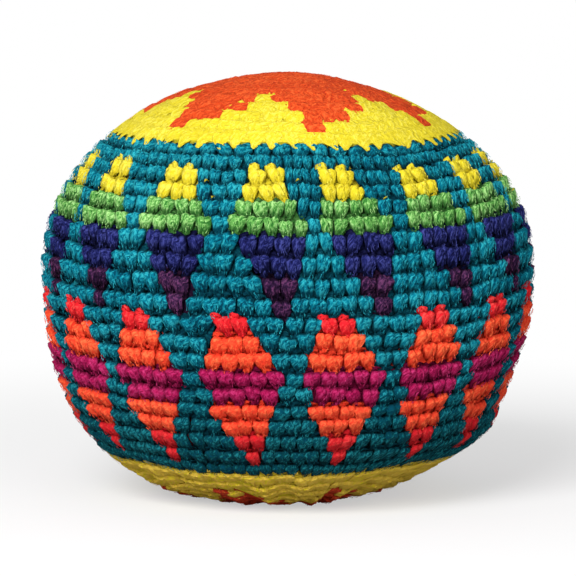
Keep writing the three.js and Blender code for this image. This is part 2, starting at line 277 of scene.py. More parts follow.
# %% The stitch's strands: across, into the cover, up, and the strand's radius
LEG_SIDES = 6
LOOP_SIDES = 5
LEFT_LEG = [
    (0.03, 0.44, -1.34, 0.30),
    (0.02, 0.04, -1.19, 0.44),
    (-0.07, -0.09, -0.75, 0.58),
    (-0.21, -0.16, -0.16, 0.67),
    (-0.32, -0.13, 0.42, 0.65),
    (-0.37, 0.18, 0.90, 0.42),
]
RIGHT_LEG = [
    (0.24, 0.46, -1.22, 0.28),
    (0.24, 0.10, -1.08, 0.40),
    (0.30, -0.01, -0.64, 0.53),
    (0.38, -0.08, -0.08, 0.61),
    (0.43, -0.05, 0.45, 0.60),
    (0.45, 0.22, 0.90, 0.38),
]
TOP_LOOP = [
    (-1.05, 0.66, 0.84, 0.28),
    (-0.66, 0.32, 1.16, 0.42),
    (-0.04, 0.30, 1.18, 0.42),
    (0.36, 0.66, 0.84, 0.28),
]
HORN = [
    (-0.80, 0.20, 0.70, 0.38),
    (-0.62, -0.22, 1.36, 0.42),
    (-0.34, -0.24, 1.46, 0.42),
    (-0.14, 0.15, 0.80, 0.38),
]
CAP = [
    (-0.60, 0.10, 0.72, 0.46),
    (-0.30, -0.16, 1.16, 0.56),
    (0.28, -0.16, 1.16, 0.56),
    (0.58, 0.10, 0.72, 0.46),
]
FLECK = [
    (-0.22, -0.36, -0.08, 0.07),
    (-0.13, -0.56, -0.02, 0.10),
    (-0.04, -0.66, 0.02, 0.12),
    (0.06, -0.66, 0.05, 0.12),
    (0.14, -0.56, 0.07, 0.10),
    (0.22, -0.36, 0.08, 0.07),
]
LONG_TIP = 0.5  # how much further down a long stitch reaches
LONG_LIFT = 0.3  # how much nearer to the viewer its tip is
LONG_SLIMMING = 0.5
LONG_MIDDLE = 0.12  # the place across to which its legs are drawn together
LONG_GATHER = 0.7
NEXT_STRAND = 7.3  # mm of yarn from one strand of a stitch to the next, so that their grain differs


def strand_mesh(name, steps, sides):
    """A strand's vertices, its faces, and each corner's place round and along the yarn."""
    strand = extrude_strand(name, [step[:3] for step in steps], [step[3] for step in steps], sides)
    vertices = np.array([vertex.co for vertex in strand.data.vertices])
    middles = vertices.reshape(-1, sides, 3).mean(axis=1)
    length = np.concatenate([[0], np.cumsum(np.linalg.norm(np.diff(middles, axis=0), axis=1))])
    faces, corners = [], []
    for polygon in strand.data.polygons:
        face = list(polygon.vertices)
        around = np.array([v % sides for v in face], float)
        if around.max() - around.min() > sides / 2:
            around[around < sides / 2] += sides
        faces.append(face)
        corners.append(np.stack([around / sides, length[[v // sides for v in face]]], axis=-1))
    bpy.data.objects.remove(strand)
    return vertices, faces, np.concatenate(corners)


def lengthened(steps):
    """A leg whose lower part reaches further down, and is slimmer and nearer to the viewer."""
    low = -min(step[2] for step in steps)
    made = []
    for x, y, z, radius in steps:
        share = min(max(-z / low, 0), 1) ** 0.5
        x = LONG_MIDDLE + (x - LONG_MIDDLE) * (1 - LONG_GATHER * share)
        slimmer = radius * (1 - LONG_SLIMMING * share)
        made.append((x, y - LONG_LIFT * share, z - LONG_TIP * share, slimmer))
    return made


def stitch_of(name, strands, fibres=14):
    """A stitch made of its strands. Each copy of it will have that many loose fibres."""
    faces, points, corners = [], [], []
    for n, steps in enumerate(strands):
        sides = LOOP_SIDES if len(steps) == len(TOP_LOOP) else LEG_SIDES
        part = strand_mesh(f"{name}_{n}", steps, sides)
        start = sum(len(group) for group in points)
        faces.extend([[v + start for v in face] for face in part[1]])
        points.append(part[0])
        corners.append(part[2] + [0, NEXT_STRAND * n])
    legs = np.array([steps for steps in strands if len(steps) == len(LEFT_LEG)])
    print(name, "has", sum(len(group) for group in points), "vertices and", len(faces), "faces")
    return {
        "points": np.concatenate(points),
        "faces": faces,
        "corners": np.concatenate(corners),
        "legs": legs,
        "fibres": fibres,
    }


models = {
    "plain": stitch_of("stitch", [LEFT_LEG, RIGHT_LEG, TOP_LOOP]),
    "long": stitch_of("long_stitch", [lengthened(LEFT_LEG), lengthened(RIGHT_LEG), TOP_LOOP]),
    "horned": stitch_of("horned_stitch", [LEFT_LEG, RIGHT_LEG, HORN]),
    "capped": stitch_of("capped_stitch", [LEFT_LEG, RIGHT_LEG, CAP]),
    "fleck": stitch_of("fleck", [FLECK], fibres=0),
}

# %% [markdown]
# ## The pattern
#
# The side has sixteen repeats of six stitches, worked in a spiral, so that each round sits a third of a
# stitch further to the right than the one below. A row of the chart below says which stitches of a
# repeat are in which colour. Crown and base are seven-pointed stars, and each of their rounds has as
# many stitches as fit, shared evenly among the points. The pattern could be painted on by a shader, but
# real tapestry crochet changes colour only between whole stitches, which gives it stepped, toothed
# edges.

# %% The chart of the side, from the lowest round up
SIDE_REPEATS = 16
REPEAT_STITCHES = 6
REPEAT_TURN = 360 / SIDE_REPEATS
STITCH_TURN = REPEAT_TURN / REPEAT_STITCHES
FIRST_TURN = -11.3  # degrees, where the tip of a diamond starts
ROUND_TURN = 1.24  # degrees from each round to the next
SIDE_CHART = [
    # node, where it starts and how wide it is, in stitches, and its number of stitches
    None,
    ("lower_red_tips", 0, 1, 1),
    ("lower_red_tips", -1, 2, 2),
    ("lower_orange_diamonds", -2, 3, 3),
    ("lower_orange_diamonds", -3, 4, 4),
    ("magenta_diamonds", -3, 4, 4),
    ("magenta_diamonds", -4, 5, 5),
    ("upper_orange_diamonds", -4, 4, 4),
    ("upper_orange_diamonds", -4, 3, 3),
    ("upper_red_tips", -4, 2, 2),
    ("purple_tips", -1, 1, 1),
    ("purple_tips", -2, 2, 2),
    ("navy_triangles", -3, 3, 3),
    ("navy_triangles", -4, 4, 4),
    ("green_triangles", -5, 5, 5),
    ("green_triangles", -5, 4, 4),
    ("yellow_triangles", -5, 3, 3),
    ("yellow_triangles", -5.2, 2.6, 2),
    None,
]
HORNED_ROWS = (9, 17)
print(SIDE_REPEATS * REPEAT_STITCHES, "stitches in each round of the side")

# %% The chart of the stars
STAR_POINTS = 7
STAR_STITCH = 2.15 * MM  # the width of a stitch
STAR_CHART = {
    # round, counted in from the edge: the star point's left and right end in degrees, and its stitches
    1: (-3.3, 3.2, 1),
    2: (-3.8, 15.7, 3),
    3: (-8.8, 24.2, 4),
    4: (-17.3, 26.2, 5),
}
CROWN_POINT = 9.3  # degrees, the turn of one point's tip
BASE_POINT = -26.5
print(STAR_POINTS, "star points,", round(360 / STAR_POINTS, 1), "degrees apart")

# %% Where the maker's motifs are off an even spacing
MOTIF_SLIPS = {
    # row: for each motif in view, the even turn of its middle, and its slip in degrees
    9.5: [(-54, -1), (-32, -2), (-10, 0), (12, 1.5), (34, 3), (56, 2)],
    12: [(-69, 1.5), (-47, -1.5), (-25, -1), (-3, 1), (19, -1), (41, -1), (62, -2.5)],
    17: [(-71, -1.5), (-50, -2.5), (-28, -1.3), (-5.5, 0), (16, -3.5), (38, -3), (59, -4.5)],
}
STEADY = 4  # degrees on either side of a motif's middle that slip as one
OUT_OF_VIEW = 100  # degrees from the front, from where nothing slips


def slip(row, turn):
    """How far a place in a side round is turned from where even stitches would put it."""
    turn = (turn + 180) % 360 - 180
    slips = []
    for middles in MOTIF_SLIPS.values():
        knots = [(-OUT_OF_VIEW, 0)]
        for middle, off in middles:
            knots += [(middle - STEADY, off), (middle + STEADY, off)]
        knots.append((OUT_OF_VIEW, 0))
        slips.append(np.interp(turn, *zip(*knots)))
    return float(np.interp(row, list(MOTIF_SLIPS), slips))


print(f"the diamond right of the middle slips {slip(5, 12):.1f} degrees")

# %% The stitches of the side: (node, round and turn of its middle, its width in degrees, its model)
laid = []


def lay_run(node, at_round, left, right, count, style, slip_row=None):
    """Lays count stitches side by side between two turns."""
    ends = np.linspace(left, right, count + 1)
    if slip_row is not None:
        ends = [end + slip(slip_row, end) for end in ends]
    for start, end in zip(ends[:-1], ends[1:]):
        laid.append((node, at_round, (start + end) / 2, end - start, style))


for row, run in enumerate(SIDE_CHART):
    node, start, width, count = run or ("teal_ground", 0, 1, 1)
    for repeat in range(SIDE_REPEATS):
        at = FIRST_TURN + ROUND_TURN * (row - 1) + REPEAT_TURN * repeat
        left, right = at + STITCH_TURN * start, at + STITCH_TURN * (start + width)
        style = "horned" if row in HORNED_ROWS else "plain"
        middle_round = END_ROUNDS + row + 0.5
        lay_run(node, middle_round, left, right, count, style, row)
        rest = REPEAT_STITCHES - count
        lay_run("teal_ground", middle_round, right, left + REPEAT_TURN, rest, "plain", row)
print(len(laid), "stitches in the side")

# %% The stitches of the crown and the base, and the capped round below the crown
for star, field, point_turn, first_round, step, later in (
    ("crown_star", "crown_field", CROWN_POINT, END_ROUNDS + SIDE_ROUNDS + 0.5, 1, 0),
    ("base_star", "base_field", BASE_POINT, END_ROUNDS - 0.5, -1, 1),
):
    for k in range(END_ROUNDS):
        at_round = first_round + step * k
        across = 360 / STAR_POINTS
        girth = 2 * math.pi * radius_at(at_round)
        in_point = max(round(float(girth) / STAR_POINTS / STAR_STITCH), 1)
        style = "long" if k == 0 and step > 0 else "plain"
        for point in range(STAR_POINTS):
            at = point_turn + across * point
            if k - later > max(STAR_CHART):
                lay_run(star, at_round, at, at + across, in_point, style)
                continue
            left, right, count = STAR_CHART.get(k - later, (0, 0, 0))
            if count:
                lay_run(star, at_round, at + left, at + right, count, style)
            lay_run(field, at_round, at + right, at + left + across, in_point - count, style)
            if style == "long":
                half = across / in_point / 2
                start, end = at + half, at + across + half
                lay_run("teal_ground", at_round - 1, start, end, in_point, "capped")
print(len(laid), "stitches in all")

# %% Flecks of the carried yarn, which shows where the hook has caught it between two rounds
# Each is its round and its turn in degrees. These are in view.
flecks = [(28.06, -21.3), (28.06, 2.6), (27.0, -19.0), (11.5, -24.4), (11.5, 2.4), (11.1, 7.2)]
flecks += [(27.0, 24.5), (28.1, 57.0), (11.4, 33.0)]
FLECKED_ROUNDS = [11.4, 26.0, 27.0, 28.0]
FLECKS_BEHIND = 12
BEHIND = (80, 285)  # degrees
for _ in range(FLECKS_BEHIND):
    flecks.append((float(rng.choice(FLECKED_ROUNDS)), float(rng.uniform(*BEHIND))))
for at_round, turn in flecks:
    carried = "base_field" if at_round < END_ROUNDS + 1 else "yellow_triangles"
    laid.append((carried, at_round, turn, STITCH_TURN, "fleck"))
print(len(flecks), "flecks")

# %% [markdown]
# ## Laying the stitches
#
# Each stitch is copied from the model on the bench, bent round the bag, and pushed a little out of line,
# because no two hand-made stitches are the same. An array modifier and a curve would bend them too, but
# they can't change the number of stitches from round to round, or their colour. A hair system could add
# the fluff, but exported parts can't carry one, so fourteen thin slivers of fibre lie loose on each
# stitch. The copies of one yarn are one mesh, with a UV map that runs round and along the yarn, and
# attributes that tell the material how light a stitch is, how deep a point is tucked in, and which
# points are loose fibres. Crown and base are worn flat, and are shaded flat too, so that they look
# matted.
# How deep a point is tucked in sets the painted shade between stitches, and each loose fibre carries a
# painted glint.

# %% Bend a stitch from the bench round the bag
PROUD = 0.66 * MM  # from the bench's Y = 0 out to the outline
STITCH_WIDTH = 1.86  # mm
KNOT_HOLE = 0.58  # in rounds, the innermost stitches' distance from the middle


def held_off(place):
    """Keeps stitches off the yarn end in the middle of the base and of the crown."""
    low = np.hypot(np.maximum(place, 0), KNOT_HOLE)
    high = ROUNDS - np.hypot(np.maximum(ROUNDS - place, 0), KNOT_HOLE)
    return np.where(place < ROUNDS / 2, low, high)


def bend(x, y, z, rounds, turns, widths):
    """From the bench, in millimetres, to the bag, in metres."""
    place = held_off(rounds + z * MM / ROUND_HEIGHT)
    points = on_cover(place, turns + x / STITCH_WIDTH * widths, -y * MM - PROUD)
    points[..., 2] = np.maximum(points[..., 2], 0.0)
    return points


# %% Put the copies a little out of line, in millimetres unless it says otherwise
WAVES_ROUND = (2, 5, 8)  # how often each wave goes up and down on its way round the bag
WAVES = len(WAVES_ROUND)
WAVE_SIZE = 0.09
STRETCH_ACROSS = (0.95, 1.08)
STRETCH_UP = (0.94, 1.06)
IN_AND_OUT = (-0.1, 0.08)
SPIN = 7  # degrees
SLANT = 0.11  # mm across for each mm up
SHIFT_ACROSS = 0.08
SHIFT_UP = 0.13
wave_phase = rng.uniform(0, 2 * math.pi, (ROUNDS + 1, WAVES))
wave_size = rng.normal(0, WAVE_SIZE, (ROUNDS + 1, WAVES))


def row_drift(rounds, turns):
    """How far up or down a round wanders on its way round the bag."""
    row = np.floor(rounds).astype(int)
    drift = np.zeros(rounds.shape)
    for k, often in enumerate(WAVES_ROUND):
        drift += wave_size[row, k] * np.sin(np.radians(turns) * often + wave_phase[row, k])
    return drift


def out_of_line(points, rounds, turns):
    """Each copy's points, stretched, turned, slanted and shifted by amounts of its own."""
    size = (len(points), 1)
    x, y, z = points[..., 0] * rng.uniform(*STRETCH_ACROSS, size), points[..., 1], points[..., 2]
    z = z * rng.uniform(*STRETCH_UP, size)
    y = y + rng.uniform(*IN_AND_OUT, size)
    spin = np.radians(rng.normal(0, SPIN, size))
    x, z = x * np.cos(spin) + z * np.sin(spin), z * np.cos(spin) - x * np.sin(spin)
    x = x + z * rng.normal(0, SLANT, size) + rng.normal(0, SHIFT_ACROSS, size)
    z = z + rng.normal(0, SHIFT_UP, size) + row_drift(rounds, turns)
    return x, y, z


print("the rounds wander by up to", round(np.abs(wave_size).sum(axis=1).max(), 2), "mm")

# %% Wear: how far the stitches still stand up, and how deep each point is tucked in, for its painted shade
RELIEF = {"side": 1.0, "crown": 0.2, "base": 0.46}  # the crown and base are worn flatter
FOOT_RELIEF = 0.62  # the lowest rounds of the side are pressed flatter
FOOT_ROUNDS = (6, 1)  # above the base: where that starts and where it is full
END_SPREAD = 1.16  # the stitches of crown and base are spread until they close up
TUCKED_DEPTH = 1.1  # mm


def worn(x, y, z, rounds):
    in_crown = rounds > END_ROUNDS + SIDE_ROUNDS
    in_base = rounds < END_ROUNDS
    pressed = eased(rounds, END_ROUNDS + FOOT_ROUNDS[0], END_ROUNDS + FOOT_ROUNDS[1])
    relief = 1 - (1 - FOOT_RELIEF) * pressed
    relief = np.where(in_base, RELIEF["base"], np.where(in_crown, RELIEF["crown"], relief))
    # how deep a point is tucked in: the material darkens it with painted shade by this much
    tuck_shade = np.clip((y + PROUD / MM) / TUCKED_DEPTH, 0, 1) * relief
    y = (y + PROUD / MM) * relief - PROUD / MM
    spread = np.where(in_base | in_crown, END_SPREAD, 1.0)
    return x * spread, y, z * spread, tuck_shade


# %% Loose fibres: each is a sliver with three corners at its root and one at its tip
FIBRE_PLACES = (1.0, 4.1)  # along a leg, in steps
FIBRE_FAN = 0.8  # radians round the leg
FIBRE_SUNK = 0.05  # mm
FIBRE_LIFT = (-0.2, 0.05)
FIBRE_SPLAY = 0.22
FIBRE_OUTWARDS = -0.06
FIBRE_LENGTH = (0.28, 0.58)  # mm
FIBRE_HALF_WIDTH = (0.03, 0.055)  # mm
FIBRE_HEIGHT = 1.5  # half widths
MOSTLY_DULL = 1.6  # the higher, the fewer fibres get a bright painted glint
SLIVER = np.array([(0, 2, 1), (2, 0, 3), (1, 2, 3), (0, 1, 3)])


def loose_fibres(legs, count, fibres):
    """Slivers that lie loose on the legs of count stitches: their corners and how bright a painted glint
    each has.
    """
    size = (count, fibres)
    leg = rng.integers(0, len(legs), size)
    along = rng.uniform(*FIBRE_PLACES, size)
    step = along.astype(int)
    share = (along - step)[..., None]
    here = legs[leg, step] * (1 - share) + legs[leg, step + 1] * share
    ahead = legs[leg, step + 1][..., :3] - legs[leg, step][..., :3]
    ahead /= np.linalg.norm(ahead, axis=-1, keepdims=True)
    angle = rng.normal(0, FIBRE_FAN, size)
    out = np.stack([np.sin(angle), -np.cos(angle), np.zeros(size)], axis=-1)
    out -= ahead * (out * ahead).sum(axis=-1, keepdims=True)
    out /= np.linalg.norm(out, axis=-1, keepdims=True)
    aside = np.cross(ahead, out)
    root = here[..., :3] + out * (here[..., 3:] - FIBRE_SUNK)
    ahead = ahead * rng.choice([-1.0, 1.0], size)[..., None]
    heading = ahead + out * rng.uniform(*FIBRE_LIFT, size)[..., None]
    heading += aside * rng.normal(0, FIBRE_SPLAY, size)[..., None]
    heading[..., 1] = np.maximum(heading[..., 1], FIBRE_OUTWARDS)  # none may fringe the outline
    tip = root + heading * rng.uniform(*FIBRE_LENGTH, size)[..., None]
    wide = rng.uniform(*FIBRE_HALF_WIDTH, size)[..., None]
    side = np.cross(ahead, out) * wide
    ridge = root + out * wide * FIBRE_HEIGHT
    corners = np.stack([root + side, root - side, ridge, tip], axis=2)
    # each fibre's painted glint, mostly faint
    painted_glint = np.repeat(rng.uniform(0, 1, size) ** MOSTLY_DULL, 4, axis=1)
    return corners.reshape(count, fibres * 4, 3), painted_glint


# %% Copy one kind of stitch, with its fibres, to all its places in a yarn
BUMPINESS = 0.035  # mm that each point of the yarn is out of place
YARN_LENGTH = 400  # mm, and each copy takes its grain from a place of its own along it


def lay_stitches(entries, model):
    """Points, faces, corner UVs and attributes. All but the faces have a stitch to each first index."""
    count = len(entries)
    rounds, turns, widths = (np.array([entry[k] for entry in entries])[:, None] for k in (1, 2, 3))
    yarn_points = np.repeat(model["points"][None], count, axis=0)
    yarn_points = yarn_points + rng.normal(0, BUMPINESS, yarn_points.shape)
    fibres, painted_glint = loose_fibres(model["legs"], count, model["fibres"])
    points = np.concatenate([yarn_points, fibres], axis=1)
    x, y, z, tuck_shade = worn(*out_of_line(points, rounds, turns), rounds)
    slivers = (SLIVER[None] + 4 * np.arange(model["fibres"])[:, None, None]).reshape(-1, 3)
    faces = model["faces"] + (slivers + len(model["points"])).tolist()
    uv = np.concatenate([model["corners"], np.zeros((slivers.size, 2))])
    starts = np.stack([np.zeros(count), rng.uniform(0, YARN_LENGTH, count)], axis=-1)
    still = np.zeros((count, len(model["points"])))
    looks = {
        "shade": np.repeat(rng.normal(0, 1, (count, 1)), points.shape[1], axis=1),
        "tuck_shade": tuck_shade,
        "stray_glint": np.concatenate([still, painted_glint], axis=1),
    }
    return bend(x, y, z, rounds, turns, widths), faces, uv[None] + starts[:, None], looks


# %% The solid behind the stitches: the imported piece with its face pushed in
BACKING_DEPTH = {"side": 1.0 * MM, "crown": 0.045 * MM, "base": 0.26 * MM}
# painted shade on each backing, as if it were tucked in this far
BACKING_SHADE = {"side": 1.0, "crown": 0.25, "base": 0.5}
FACE_REACH = 0.3 * MM  # a point this near to the outline is on the outer face
DOUBLE = 0.001 * MM  # points this near to each other are one
YARN_GIRTH = 3.0  # mm round a leg


def region_of(node):
    first = node.split("_")[0]
    return first if first in RELIEF else "side"


def backing_of(node):
    """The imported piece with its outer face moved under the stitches, and UVs for a coil of yarn."""
    deselect_all()
    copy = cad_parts[node].copy()
    copy.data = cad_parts[node].data.copy()
    bpy.context.scene.collection.objects.link(copy)
    copy.hide_viewport = False
    copy.select_set(True)
    bpy.context.view_layer.objects.active = copy
    bpy.ops.object.mode_set(mode="EDIT")
    bpy.ops.mesh.select_all(action="SELECT")
    bpy.ops.mesh.remove_doubles(threshold=DOUBLE)
    bpy.ops.mesh.normals_make_consistent(inside=False)
    bpy.ops.object.mode_set(mode="OBJECT")
    points = np.array([vertex.co for vertex in copy.data.vertices])
    faces = [list(polygon.vertices) for polygon in copy.data.polygons]
    bpy.data.objects.remove(copy)
    radius = np.hypot(points[:, 0], points[:, 1])
    away = np.hypot(radius[:, None] - even_r[None], points[:, 2][:, None] - even_z[None])
    nearest = away.argmin(axis=1)
    on_face = away.min(axis=1) < FACE_REACH
    degrees = np.degrees(np.arctan2(points[:, 0], -points[:, 1]))
    sunk = np.full(len(points), -BACKING_DEPTH[region_of(node)])
    pushed = on_cover(even_s[nearest] / ROUND_HEIGHT, degrees, sunk)
    points[on_face] = pushed[on_face]
    uv = []
    for face in faces:
        turn = np.radians(degrees[face])
        if np.ptp(turn) > math.pi:
            turn = np.where(turn < 0, turn + 2 * math.pi, turn)
        girth = np.hypot(points[face, 0], points[face, 1]).mean()
        uv.append(np.stack([even_s[nearest[face]] / YARN_GIRTH, turn * girth], axis=-1) / MM)
    return points, faces, np.concatenate(uv)


# %% Put one yarn's stitches and backing into one mesh
def mesh_of(name, points, faces, uv, looks):
    """A mesh object with a UV map for the fibres and, in looks, values for its points."""
    mesh = bpy.data.meshes.new(name)
    mesh.from_pydata(points.tolist(), [], faces)
    layer = mesh.uv_layers.new(name="yarn")
    layer.data.foreach_set("uv", uv.astype(np.float32).ravel())
    for title, values in looks.items():
        attribute = mesh.attributes.new(title, "FLOAT", "POINT")
        attribute.data.foreach_set("value", values.astype(np.float32))
    # loose fibres and the matted yarn of crown and base are shaded flat
    smooth = [len(face) > 3 and not name.startswith(("crown", "base")) for face in faces]
    mesh.polygons.foreach_set("use_smooth", smooth)
    mesh.validate()
    piece = bpy.data.objects.new(name, mesh)
    bpy.context.scene.collection.objects.link(piece)
    return piece


def yarn_piece(node):
    """All that one length of yarn shows: its backing, then its stitches, one kind after another."""
    points, faces, coil = backing_of(node)
    flat = np.zeros(len(points))
    all_points, uv = [points], [coil]
    looks = {"shade": [flat], "tuck_shade": [flat + BACKING_SHADE[region_of(node)]], "stray_glint": [flat]}
    start = len(points)
    for style, model in models.items():
        entries = [entry for entry in laid if entry[0] == node and entry[4] == style]
        if entries:
            copies, model_faces, corner_uv, tones = lay_stitches(entries, model)
            size = copies.shape[1]
            for n in range(len(entries)):
                faces.extend([[v + start + n * size for v in face] for face in model_faces])
            start += len(entries) * size
            all_points.append(copies.reshape(-1, 3))
            uv.append(corner_uv.reshape(-1, 2))
            for title, values in tones.items():
                looks[title].append(values.ravel())
    looks = {title: np.concatenate(values) for title, values in looks.items()}
    return mesh_of(node + "_stitches", np.concatenate(all_points), faces, np.concatenate(uv), looks)


# %% [markdown]
# ## The yarn
#
# Acrylic yarn is a few plies twisted together, each a bundle of thin shiny fibres. From a step away
# the plies read as slanted streaks, lighter on their crests and darker between. A displacement would
# need far too many faces, so bump nodes do it, from the UV map that runs round and along each strand,
# and the crests' light and the shade between them are painted into the colour too.


# %% A small class that turns Python sums into shader nodes
class Wire:
    """An output socket. Arithmetic on it adds Math nodes."""

    def __init__(self, tree, socket):
        self.tree = tree
        self.socket = socket

    def maths(self, operation, first, second=0.0, third=0.0):
        return self.tree.node("ShaderNodeMath", {"operation": operation}, [first, second, third])[0]

    def __add__(self, other):
        return self.maths("ADD", self, other)

    def __sub__(self, other):
        return self.maths("SUBTRACT", self, other)

    def __rsub__(self, other):
        return self.maths("SUBTRACT", other, self)

    def __mul__(self, other):
        return self.maths("MULTIPLY", self, other)

    def __truediv__(self, other):
        return self.maths("DIVIDE", self, other)

    def __rtruediv__(self, other):
        return self.maths("DIVIDE", other, self)

    __radd__ = __add__
    __rmul__ = __mul__

    def wave(self):
        """0 to 1 to 0 over each whole step."""
        return self.maths("SINE", self * (2 * math.pi)) * 0.5 + 0.5

    def between(self, low, high):
        """0 at low and below, 1 at high and above, smooth between."""
        settings = {"interpolation_type": "SMOOTHSTEP"}
        return self.tree.node("ShaderNodeMapRange", settings, [self, low, high])[0]


class Shader:
    """The node tree of a material or a world, with one method that adds any node."""

    def __init__(self, owner):
        self.owner = owner
        owner.use_nodes = True
        self.nodes = owner.node_tree.nodes
        self.links = owner.node_tree.links
        self.nodes.clear()

    def node(self, kind, settings=None, inputs=None):
        made = self.nodes.new(kind)
        for key, value in (settings or {}).items():
            setattr(made, key, value)
        pairs = inputs.items() if isinstance(inputs, dict) else enumerate(inputs or [])
        for key, value in pairs:
            if isinstance(value, Wire):
                self.links.new(value.socket, made.inputs[key])
            else:
                made.inputs[key].default_value = value
        return [Wire(self, socket) for socket in made.outputs]

    def mix(self, factor, first, second):
        """Mixes two colours, each a wire or three numbers."""
        colours = [c if isinstance(c, Wire) else (*c, 1) for c in (first, second)]
        sockets = {0: factor, 6: colours[0], 7: colours[1]}
        return self.node("ShaderNodeMix", {"data_type": "RGBA"}, sockets)[2]

    def finish(self, surface):
        self.node("ShaderNodeOutputMaterial", None, {"Surface": surface})
        return self.owner


def srgb(red, green, blue):
    """A colour as written for the screen, 0 to 255, turned into the linear values that nodes use."""
    return tuple(
        c / 12.92 if c <= 0.04045 else ((c + 0.055) / 1.055) ** 2.4
        for c in (red / 255, green / 255, blue / 255)
    )


def tinted(colour, factor):
    return tuple(min(c * factor, 1.0) for c in colour)


# %% The yarn material
PLIES = 4
PLY_TURN = 5.5  # mm of yarn in which a ply goes round once
PLY_WANDER = 0.3
FIBRE_WIDTH = 0.26  # mm
FIBRE_STRETCH = 1.4  # how quickly the grain changes along the yarn
SHADOWED = (0.47, 0.62)  # crests over which shadowed fibres give way to the yarn's colour
LIT = (0.63, 0.77)  # and that to its lit fibres
TUCKED_SHADE = (0.1, 0.6)  # depths over which painted shade darkens the yarn between stitches
FOOT_SHADE_HEIGHTS = (28 * MM, 6 * MM)  # heights over which painted shade takes the yarn to its darker colour at the foot
BUMP_DEPTH = 0.16 * MM


def yarn(name, colour, light, dark, foot, crease_shade):
    shader = Shader(bpy.data.materials.new(name))
    uv = shader.node("ShaderNodeUVMap", {"uv_map": "yarn"})[0]
    around, along, _ = shader.node("ShaderNodeSeparateXYZ", None, [uv])
    tuck_shade = shader.node("ShaderNodeAttribute", {"attribute_name": "tuck_shade"})[2]
    shade = shader.node("ShaderNodeAttribute", {"attribute_name": "shade"})[2]
    stray_glint = shader.node("ShaderNodeAttribute", {"attribute_name": "stray_glint"})[2]

    wander = shader.node(
        "ShaderNodeTexNoise", {"noise_dimensions": "2D"}, {"Vector": uv, "Scale": 0.9, "Detail": 1}
    )[0]
    lay = around + along / PLY_TURN + (wander - 0.5) * PLY_WANDER
    plies = (lay * PLIES).wave()
    across = lay * (YARN_GIRTH / FIBRE_WIDTH)
    grain_at = shader.node("ShaderNodeCombineXYZ", None, [across, along * FIBRE_STRETCH, 0.0])[0]
    grain = shader.node(
        "ShaderNodeTexNoise",
        {"noise_dimensions": "2D"},
        {"Vector": grain_at, "Scale": 1.0, "Detail": 3, "Roughness": 0.65},
    )[0]
    place = shader.node("ShaderNodeTexCoord")[3]
    height = shader.node("ShaderNodeSeparateXYZ", None, [place])[2]
    patch = shader.node(
        "ShaderNodeTexNoise", None, {"Vector": place, "Scale": 90, "Detail": 2, "Roughness": 0.5}
    )[0]
    fluff = shader.node(
        "ShaderNodeTexNoise", None, {"Vector": place, "Scale": 3000, "Detail": 2, "Roughness": 0.6}
    )[0]

    crest = grain * 0.9 + plies * 0.12 + fluff * 0.25 + shade * 0.02 + (patch - 0.5) * 0.3
    # painted shade toward the foot: the yarn darkens to its foot colour, and its painted highlight and
    # glints dim
    low = height.between(*FOOT_SHADE_HEIGHTS)
    foot_shaded = shader.mix(low, colour, foot)
    # painted shade between fibres and plies, and a painted highlight on their crests
    base = shader.mix(crest.between(*SHADOWED), dark, foot_shaded)
    base = shader.mix(crest.between(*LIT) * (0.85 - low * 0.5), base, light)
    # painted shade between stitches, darker the deeper a point is tucked in
    base = shader.mix(tuck_shade.between(*TUCKED_SHADE) * 0.85, base, tinted(dark, crease_shade))
    # a painted glint on the loose fibres, dimmer toward the foot
    base = shader.mix(stray_glint * (0.75 - low * 0.5), base, light)

    bump = shader.node(
        "ShaderNodeBump",
        None,
        {"Strength": 1.0, "Distance": BUMP_DEPTH, "Height": plies * 0.3 + grain * 1.2 + fluff * 0.4},
    )[0]
    surface = shader.node(
        "ShaderNodeBsdfPrincipled",
        None,
        {
            "Base Color": base,
            "Roughness": 0.95 - grain * 0.2,
            "IOR": 1.45,
            "Specular IOR Level": 0.07,
            "Sheen Weight": 0.03,
            "Sheen Roughness": 0.4,
            "Sheen Tint": (*light, 1),
            "Normal": bump,
        },
    )[0]
    return shader.finish(surface)


# %% The nine dye lots
YARNS = {
    # colour, lit fibres, shadowed fibres, painted shade at the foot, and how light the painted shade
    # between stitches stays
    "yarn_teal": ((2, 112, 133), (46, 166, 178), (0, 62, 82), (0, 51, 57), 0.45),
    "yarn_yellow": ((219, 201, 44), (230, 217, 84), (208, 189, 36), (216, 176, 66), 0.9),
    "yarn_flame": ((211, 71, 28), (230, 98, 47), (184, 52, 23), (178, 54, 34), 0.9),
    "yarn_red": ((230, 38, 46), (242, 80, 74), (206, 28, 38), (186, 30, 38), 0.85),
    "yarn_orange": ((246, 82, 48), (253, 120, 72), (228, 58, 38), (218, 70, 46), 0.9),
    "yarn_magenta": ((164, 22, 79), (193, 60, 117), (122, 8, 56), (164, 22, 79), 0.65),
    "yarn_purple": ((50, 26, 58), (106, 57, 98), (26, 10, 36), (50, 26, 58), 0.5),
    "yarn_navy": ((26, 31, 87), (64, 70, 138), (11, 13, 53), (26, 31, 87), 0.45),
    "yarn_green": ((99, 162, 78), (168, 217, 136), (46, 108, 43), (99, 162, 78), 0.6),
}
yarn_materials = {
    name: yarn(name, *(srgb(*tone) for tone in tones), crease_shade)
    for name, (*tones, crease_shade) in YARNS.items()
}
print(len(yarn_materials), "yarns")

